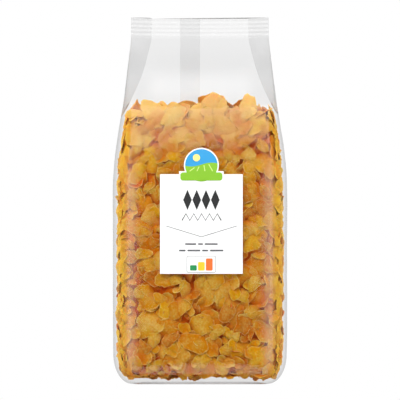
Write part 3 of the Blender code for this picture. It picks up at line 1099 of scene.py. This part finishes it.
# The flakes' kinds: name, paler colour, deeper colour, share of all
FLAKE_KINDS = (
    ("pale_flakes", linear(214, 174, 84), linear(208, 154, 30), 0.2),
    ("yellow_flakes", linear(214, 170, 48), linear(214, 154, 6), 0.18),
    ("golden_flakes", linear(208, 164, 66), linear(204, 142, 12), 0.26),
    ("amber_flakes", linear(204, 156, 56), linear(200, 130, 6), 0.18),
    ("orange_flakes", linear(202, 146, 42), linear(200, 120, 2), 0.1),
    ("toasted_flakes", linear(194, 138, 54), linear(184, 108, 10), 0.08),
)
# Deeper, redder colours of the flakes deep inside and of the packed core: painted shade
SHADED_INNER = linear(204, 102, 2), linear(192, 88, 0)
# Colour of the flakes' painted shade deep in the bag, also mixed into their dark grain
DEEP_SHADE_AND_GRAIN_COLOUR = linear(204, 84, 0)
# Pale colour painted on flakes near the top of the heap: painted light from above
CROWN_PAINTED_LIGHT = linear(248, 212, 142)
# Yellow colour painted on flakes at the sides and the foot: painted light
PAINTED_SIDE_LIGHT = linear(216, 170, 54)
# Pale colour of the corn's specks, also the painted highlight on the flakes' rims
SPECK_AND_RIM_HIGHLIGHT = linear(228, 198, 120)
RIM_HIGHLIGHT_SHARE, SPECK_SHARE, GRAIN_SHARE = 0.5, 0.25, 0.45
PAINTED_SHADE_SHARE, PAINTED_SIDE_LIGHT_SHARE, CROWN_PAINTED_LIGHT_SHARE = 0.95, 0.6, 0.52
OUTER_SIDE, OUTER_FOOT = (60 * MM, 75 * MM), (3 * MM, 13 * MM)


def flake_material(name, pale, deep):
    """Toasted corn, mottled and grained at random, with painted light and shade: a pale highlight on
    the thin rim, shade in its hollow and down in the heap, light at the sides, the foot and the top of
    the heap.
    """
    flake = Finish(name)
    tone = flake.attribute("tone")
    edge = flake.attribute("edge")
    apart = flake.node("ShaderNodeCombineXYZ", None, {0: tone, 1: tone * 1.7, 2: tone * 2.3})
    own = flake.node("ShaderNodeVectorMath", {"operation": "ADD"}, {0: flake.place(), 1: apart})
    patches = flake.noise(9 * MM, 2.0, own)
    specks = flake.noise(2.0 * MM, 3.0, own)
    # the hollow attribute darkens the middle of each flake's hollow side: painted shade; the patches
    # and specks are the corn's own mottle
    blotches = patches * 2.4 + specks * 0.7 + flake.attribute("hollow") * 0.7
    body = flake.mix((blotches + tone * 0.5 - 1.65).smooth(0.0, 1.0), pale, deep)
    body = flake.mix(specks.smooth(0.5, 0.72) * SPECK_SHARE, body, SPECK_AND_RIM_HIGHLIGHT)
    # a pale thin rim on each flake: painted highlight
    rim_lit = flake.mix(edge.smooth(0.87, 1.0) * RIM_HIGHLIGHT_SHARE, body, SPECK_AND_RIM_HIGHLIGHT)
    # deep orange where the flake lies deep in the bag: painted shade
    shaded_deep = flake.mix(flake.attribute("painted_shade") * PAINTED_SHADE_SHARE, rim_lit, DEEP_SHADE_AND_GRAIN_COLOUR)
    # darker grain specks of the corn, in a colour between the kind's deeper one and the painted shade
    # colour
    dark_grain = (1 - specks.smooth(0.36, 0.54)) * GRAIN_SHARE
    grained = flake.mix(dark_grain, shaded_deep, flake.mix(0.5, deep, DEEP_SHADE_AND_GRAIN_COLOUR))
    height = flake.coordinate("Z")
    # yellower and paler at the sides and the foot of the bag: painted light
    side = abs(flake.coordinate("X")).smooth(*OUTER_SIDE)
    outer = side.most(1 - height.smooth(*OUTER_FOOT))
    lit = flake.mix(outer * PAINTED_SIDE_LIGHT_SHARE, grained, PAINTED_SIDE_LIGHT)
    # paler at the top of the heap, where light falls from above: painted light
    lit_top = height.smooth(FILL_LINE - 18 * MM, FILL_LINE + 6 * MM)
    colour = flake.mix(lit_top * CROWN_PAINTED_LIGHT_SHARE, lit, CROWN_PAINTED_LIGHT)
    grain = specks + flake.noise(3.2 * MM, 2.0, own) * 0.6
    surface = flake.principled(
        Base_Color=colour,
        Roughness=0.5 + specks * 0.25,
        Subsurface_Weight=0.4,
        Subsurface_Radius=(1.0, 0.42, 0.08),
        Subsurface_Scale=2 * MM,
        Specular_IOR_Level=0.0,
        Normal=flake.bump(grain, 0.55 * MM, 1.0),
    )
    return flake.done(surface)


def make_flakes():
    """All loose flakes, in one piece for each colour kind and one for those deep inside."""
    filling = Filling(7)
    fill_crown(filling)
    fill_walls(filling)
    by_wall = len(filling.laid)
    fill_top(filling)
    fill_floor(filling)
    tree = scatter_tree()
    fine = shape_collection("flake_fine", filling.shapes, *FINE_FLAKE)
    coarse = shape_collection("flake_coarse", filling.shapes, *COARSE_FLAKE)
    shares = np.array([kind[3] for kind in FLAKE_KINDS])
    sorts = filling.draw.choice(len(FLAKE_KINDS), len(filling.laid), p=shares / shares.sum())
    tones = filling.draw.random(len(filling.laid))
    deep = np.array([row[4] > DEEP for row in filling.laid])
    deep[by_wall:] = False
    for sort, (name, pale, dark, _) in enumerate(FLAKE_KINDS):
        chosen = np.flatnonzero((sorts == sort) & ~deep)
        laid = [filling.laid[i] for i in chosen]
        scatter(name, laid, tones[chosen], fine, tree, flake_material(name, pale, dark))
    chosen = np.flatnonzero(deep)
    inner = flake_material("inner_flakes", *SHADED_INNER)
    scatter("inner_flakes", [filling.laid[i] for i in chosen], tones[chosen], coarse, tree, inner)
    drop_collection(fine)
    drop_collection(coarse)


def make_core():
    """The lumpy mass of flakes behind those that show."""
    heights = np.linspace(CORE_BOTTOM - 4 * MM, CORE_TOP + 6 * MM, 60)
    rings = outline_levels(heights, *CORE_SHOWN)
    middle = Vector((0, 0, (CORE_BOTTOM + CORE_TOP) / 2))

    def lumped(x, y, z):
        point = Vector((x, y, z))
        lump = noise.noise(point / (8 * MM)) + 0.5 * noise.noise(point / (3.5 * MM))
        return point + (point - middle).normalized() * lump * LUMP_HEIGHT

    lumpy = [[lumped(x, y, z) for x, y in ring] for ring, z in zip(rings, heights)]
    mesh = mesh_from("packed_flakes", *closed_tube(lumpy))
    # the packed core is wholly in painted shade
    for name, value in (("edge", 0.6), ("tone", 0.6), ("hollow", 0.5), ("painted_shade", 1.0)):
        put_attribute(mesh, name, "FLOAT", np.full(len(mesh.vertices), value))
    new_object("packed_flakes", mesh, flake_material("packed_flakes", *SHADED_INNER), "flakes")


# Label print

PRINT_CELL = 5 * MM
LABEL_LIFT = 0.12 * MM
PRINT_STEP = 0.15 * MM
PRINT_THICKNESS = 0.12 * MM
BADGE_PRINT = BADGE_RADIUS - 1.2 * MM
RIBBON_RIM = 1.2 * MM
DIAMONDS_LEFT, DIAMOND_WIDTH = -16.2 * MM, 8.75 * MM
DIAMONDS_BOTTOM, DIAMONDS_TOP = 164.8 * MM, 184 * MM
ZIGZAG_LEFT, ZIGZAG_STEP = -17 * MM, 3.7 * MM
ZIGZAG_LOW, ZIGZAG_RISE = 155 * MM, 6.4 * MM
WIDE_V_LEFT, WIDE_V_RIGHT = -31.9 * MM, 34.6 * MM
WIDE_V_LOW, WIDE_V_TOP = 139.6 * MM, 149.8 * MM
THIN_LINE, ZIGZAG_LINE = 0.6 * MM, 1.0 * MM
DASH_HEIGHT, DASH_GAP = 1.5 * MM, 1.8 * MM
# Height, left end and lengths of each row of dashes
DASH_ROWS = (
    (132.0 * MM, -14.1 * MM, (10.5 * MM, 4.5 * MM, 12.2 * MM)),
    (125.9 * MM, -19.8 * MM, (6.2 * MM, 12.0 * MM, 5.6 * MM, 12.6 * MM)),
)
# Left, right, bottom and top of the small frame, and the bars in it
BAR_FRAME = (-12.6 * MM, 15.1 * MM, 105.8 * MM, 121.6 * MM)
BARS_LEFT, BAR_PITCH, BAR_WIDTH = -9.4 * MM, 7.5 * MM, 6.3 * MM
BARS_BOTTOM = 107.8 * MM
BAR_HEIGHTS = (5.0 * MM, 8.0 * MM, 11.4 * MM)
BAR_COLOURS = (
    ("green_bar", linear(22, 140, 74)),
    ("yellow_bar", linear(250, 204, 40)),
    ("orange_bar", linear(236, 112, 40)),
)


def printed(name, shapes, layer, material, slot="label_print"):
    """Flat outlines in x and z made thin slabs and laid on the bag's front, one above another."""
    work = bmesh.new()
    for shape in shapes:
        corners = [work.verts.new((x, 0, z)) for x, z in shape]
        face = work.faces.new(corners)
        face.normal_update()
        if face.normal.y > 0:
            face.normal_flip()
    bmesh.ops.triangulate(work, faces=work.faces[:])
    lows = [min(v.co[axis] for v in work.verts) for axis in (0, 2)]
    highs = [max(v.co[axis] for v in work.verts) for axis in (0, 2)]
    for axis, low, high in zip((0, 2), lows, highs):
        for i in range(1, math.ceil((high - low) / PRINT_CELL)):
            place, normal = Vector((0, 0, 0)), Vector((0, 0, 0))
            place[axis], normal[axis] = low + i * PRINT_CELL, 1
            parts = work.verts[:] + work.edges[:] + work.faces[:]
            bmesh.ops.bisect_plane(work, geom=parts, plane_co=place, plane_no=normal)
    sheet = bmesh.ops.extrude_face_region(work, geom=work.faces[:])
    for item in sheet["geom"]:
        if isinstance(item, bmesh.types.BMVert):
            item.co.y -= PRINT_THICKNESS
    for vert in work.verts:
        vert.co.y -= panel_depth(vert.co.x, vert.co.z) + LABEL_LIFT + layer * PRINT_STEP
    bmesh.ops.recalc_face_normals(work, faces=work.faces[:])
    mesh = bpy.data.meshes.new(name)
    work.to_mesh(mesh)
    work.free()
    return new_object(name, mesh, material, slot)


def arc(centre, radius, start, end, steps):
    """Points along an arc, by angles in degrees anticlockwise from the right."""
    angles = np.radians(np.linspace(start, end, steps + 1))
    return [(centre[0] + radius * math.cos(a), centre[1] + radius * math.sin(a)) for a in angles]


def rounded(x_from, x_to, z_from, z_to, radius, steps=5):
    """A rectangle with round corners."""
    corners = (
        ((x_to - radius, z_from + radius), -90),
        ((x_to - radius, z_to - radius), 0),
        ((x_from + radius, z_to - radius), 90),
        ((x_from + radius, z_from + radius), 180),
    )
    points = []
    for centre, start in corners:
        points += arc(centre, radius, start, start + 90, steps)
    return points


def stroke(points, width):
    """A line of even width along some points, its ends cut straight."""
    lefts, rights = [], []
    for i, point in enumerate(points):
        before, after = Vector(points[max(i - 1, 0)]), Vector(points[min(i + 1, len(points) - 1)])
        along = (after - before).normalized()
        across = Vector((-along.y, along.x)) * width / 2
        lefts.append(tuple(Vector(point) + across))
        rights.append(tuple(Vector(point) - across))
    return lefts + rights[::-1]


def hill(x):
    """Height of the badge's horizon."""
    return BADGE_HEIGHT + 0.8 * MM + 1.8 * MM * math.sin((x - LABEL_CENTRE_X) / (6.2 * MM))


def make_badge():
    """A round farm scene: blue sky, low sun, green field with furrows, and a blank ribbon."""
    cx = LABEL_CENTRE_X
    badge = (cx, BADGE_HEIGHT)
    ends = np.linspace(cx - BADGE_PRINT, cx + BADGE_PRINT, 400)
    below = [
        x for x in ends if (x - cx) ** 2 + (hill(x) - BADGE_HEIGHT) ** 2 < BADGE_PRINT**2
    ]
    xs = np.linspace(below[0], below[-1], 30)
    horizon = [(x, hill(x)) for x in xs]
    right = math.degrees(math.atan2(horizon[-1][1] - BADGE_HEIGHT, xs[-1] - cx))
    left = math.degrees(math.atan2(horizon[0][1] - BADGE_HEIGHT, xs[0] - cx))
    sky = arc(badge, BADGE_PRINT, right, left + 360, 44)[1:-1] + horizon
    field = arc(badge, BADGE_PRINT, left + 360, right + 360, 34)[1:-1] + horizon[::-1]
    printed("badge_sky", [sky], 1, print_material("sky_blue", linear(24, 150, 210)))
    leaf = print_material("field_green", linear(128, 186, 24))
    printed("badge_field", [field], 1, leaf)
    sun = arc((cx - 4.6 * MM, BADGE_HEIGHT + 7.2 * MM), 3.4 * MM, 0, 345, 23)
    printed("badge_sun", [sun], 2, print_material("sun_yellow", linear(252, 232, 130)))
    furrows = []
    for start, end in ((-6.5, -11.0), (-2.2, -4.2), (2.4, 3.4), (7.0, 10.6)):
        points = ((cx + start * MM, hill(cx + start * MM) - 1.4 * MM), (cx + end * MM, RIBBON_TOP))
        furrows.append(stroke(points, 0.8 * MM))
    printed("badge_furrows", furrows, 2, print_material("pale_green", linear(206, 232, 130)))
    ribbon = rounded(
        cx - RIBBON_HALF_WIDTH + RIBBON_RIM,
        cx + RIBBON_HALF_WIDTH - RIBBON_RIM,
        RIBBON_BOTTOM + RIBBON_RIM,
        RIBBON_TOP - RIBBON_RIM,
        2.4 * MM,
    )
    printed("ribbon", [ribbon], 3, leaf)


def make_print():
    """Dark diamonds, a zigzag, thin grey lines and three rising colour bars."""
    diamonds = []
    for i in range(4):
        x, z = DIAMONDS_LEFT + (i + 0.5) * DIAMOND_WIDTH, (DIAMONDS_BOTTOM + DIAMONDS_TOP) / 2
        side, rise = DIAMOND_WIDTH / 2 - 0.3 * MM, (DIAMONDS_TOP - DIAMONDS_BOTTOM) / 2
        diamonds.append([(x, z - rise), (x + side, z), (x, z + rise), (x - side, z)])
    steps = np.arange(11)
    zigzag = [
        (ZIGZAG_LEFT + i * ZIGZAG_STEP, ZIGZAG_LOW + (i % 2) * ZIGZAG_RISE) for i in steps
    ]
    black = print_material("ink_black", linear(26, 26, 27))
    printed("diamonds", diamonds, 1, black)
    printed("zigzag", [stroke(zigzag, ZIGZAG_LINE)], 1, black)
    ends = (WIDE_V_LEFT, WIDE_V_TOP), (WIDE_V_RIGHT, WIDE_V_TOP)
    wide_v = [ends[0], (LABEL_CENTRE_X, WIDE_V_LOW), ends[1]]
    grey = print_material("line_grey", linear(118, 118, 118))
    printed("wide_v", [stroke(wide_v, THIN_LINE)], 1, grey)
    dashes = []
    for height, left, lengths in DASH_ROWS:
        for length in lengths:
            dashes.append(rounded(left, left + length, height, height + DASH_HEIGHT, 0.6 * MM, 3))
            left += length + DASH_GAP
    printed("dashes", dashes, 1, print_material("ink_grey", linear(88, 88, 90)))
    frame_line = print_material("frame_grey", linear(160, 160, 162))
    printed("bar_frame", [rounded(*BAR_FRAME, 1.6 * MM)], 1, frame_line)
    inner = tuple(edge + move for edge, move in zip(BAR_FRAME, np.array((1, -1, 1, -1)) * 0.5 * MM))
    white = print_material("frame_white", linear(250, 250, 250), 0.32)
    printed("bar_ground", [rounded(*inner, 1.2 * MM)], 2, white)
    for i, (name, colour) in enumerate(BAR_COLOURS):
        left = BARS_LEFT + i * BAR_PITCH
        top = BARS_BOTTOM + BAR_HEIGHTS[i]
        bar = rounded(left, left + BAR_WIDTH, BARS_BOTTOM, top, 0.9 * MM, 3)
        printed(name, [bar], 3, print_material(name, colour))


def make_label():
    """The white label with its round farm badge and printed motifs."""
    cx = LABEL_CENTRE_X
    left, right = cx - LABEL_HALF_WIDTH, cx + LABEL_HALF_WIDTH
    badge = (cx, BADGE_HEIGHT)
    foot = -math.degrees(math.asin((BADGE_HEIGHT - RIBBON_TOP) / BADGE_RADIUS))
    plate = [(left, LABEL_BOTTOM), (right, LABEL_BOTTOM), (right, LABEL_TOP)]
    plate += [(cx + RIBBON_HALF_WIDTH, LABEL_TOP), (cx + RIBBON_HALF_WIDTH, RIBBON_TOP)]
    plate += arc(badge, BADGE_RADIUS, foot, 180 - foot, 40)
    plate += [(cx - RIBBON_HALF_WIDTH, RIBBON_TOP), (cx - RIBBON_HALF_WIDTH, LABEL_TOP)]
    plate += [(left, LABEL_TOP)]
    white = print_material("label_white", linear(250, 250, 250), 0.32)
    label = printed("label_face", [plate], 0, white, "label")
    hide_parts("label")
    make_badge()
    make_print()


def print_material(name, colour, roughness=0.3):
    """Printed ink with a faint unevenness."""
    ink = Finish(name)
    mottle = ink.noise(1.5 * MM, 3.0)
    darker = tuple(c * 0.96 for c in colour[:3]) + (1.0,)
    surface = ink.principled(
        Base_Color=ink.mix(mottle, colour, darker),
        Roughness=roughness + mottle * 0.08,
        Normal=ink.bump(ink.noise(14 * MM, 2.0), 0.2 * MM, 0.3),
    )
    return ink.done(surface)


# Studio

CAMERA_DISTANCE = 5.0
PICTURE_WIDTH = 380 * MM
PICTURE_MIDDLE = 174.3 * MM
SENSOR = 36 * MM

# Name, place, width, height and radiance of each light, and what it is for
SOFTBOXES = (
    ("left_softbox", (-0.8, -1.5, 0.2), 0.62, 0.9, 1.4, "film"),
    ("right_softbox", (0.8, -1.5, 0.2), 0.62, 0.9, 1.4, "film"),
    ("high_softbox", (0, -1.5, 0.82), 1.6, 0.62, 4.2, "film"),
    ("low_softbox", (0, -1.5, -0.7), 1.4, 0.55, 3.2, "film"),
    ("top_key", (-0.2, -1.0, 1.4), 1.0, 0.6, 10.4, "flakes"),
    ("left_key", (-0.9, -1.3, 0.8), 0.6, 0.6, 4.2, "flakes"),
    ("right_key", (0.9, -1.3, 0.8), 0.6, 0.6, 2.4, "flakes"),
    ("left_fill", (-1.35, -0.1, 0.35), 1.1, 1.2, 3.2, "flakes"),
    ("right_fill", (1.35, -0.1, 0.35), 1.1, 1.2, 3.2, "flakes"),
    ("low_fill", (0, -1.3, -0.5), 1.2, 0.5, 4.2, "flakes"),
    ("left_back", (-0.8, 1.2, 0.4), 1.0, 1.2, 4.2, "flakes"),
    ("right_back", (0.8, 1.2, 0.4), 1.0, 1.2, 4.2, "flakes"),
)


def make_camera():
    camera = bpy.data.cameras.new("camera")
    camera.sensor_width = SENSOR / MM
    camera.lens = SENSOR / MM * CAMERA_DISTANCE / PICTURE_WIDTH
    camera.clip_end = 50
    holder = bpy.data.objects.new("camera", camera)
    holder.location = (0, -CAMERA_DISTANCE, PICTURE_MIDDLE)
    holder.rotation_euler = (math.pi / 2, 0, 0)
    bpy.context.scene.collection.objects.link(holder)
    bpy.context.scene.camera = holder


def softbox(name, place, width, height, radiance, seen_in):
    """A soft rectangular light out of sight, seen in the film only or lighting the rest only."""
    light = bpy.data.lights.new(name, "AREA")
    light.shape = "RECTANGLE"
    light.size, light.size_y = width, height
    light.energy = radiance * math.pi * width * height
    holder = bpy.data.objects.new(name, light)
    holder.location = place
    way = Vector(place) - Vector((0, 0, 0.17))
    holder.rotation_euler = way.to_track_quat("Z", "Y").to_euler()
    holder.visible_camera = False
    holder.visible_glossy = seen_in != "flakes"
    holder.visible_diffuse = seen_in != "film"
    bpy.context.scene.collection.objects.link(holder)


def make_lights():
    """Softboxes that the film mirrors as pale bands, and keys that light the rest."""
    for row in SOFTBOXES:
        softbox(*row)


def make_world():
    """A white room behind and below the bag, and a dim one in front of it for reflections."""
    world = bpy.data.worlds.new("studio")
    bpy.context.scene.world = world
    world.use_nodes = True
    room = Finish(world)
    way = room.node("ShaderNodeTexCoord", out="Generated")
    back = room.coordinate("Y", way).smooth(-0.5, 0.6)
    below = 1 - room.coordinate("Z", way).smooth(-0.95, -0.6)
    seen = room.node("ShaderNodeLightPath", out="Is Camera Ray")
    strength = (back * 0.85).most(below * 0.8).most(seen) + 0.1 * (1 - seen)
    sockets = {"Color": (1, 1, 1, 1), "Strength": strength}
    light = room.node("ShaderNodeBackground", None, sockets)
    room.node("ShaderNodeOutputWorld", None, {"Surface": light})


def main():
    scene = bpy.context.scene
    scene.view_settings.view_transform = "Standard"
    make_camera()
    make_world()
    make_lights()
    clear_film = film_material("film", 0.932, 0.026)
    make_film(clear_film)
    make_back_seam(film_material("seam_film", 0.955, 0.03))
    make_base_folds(clear_film)
    make_flakes()
    make_core()
    make_label()


main()
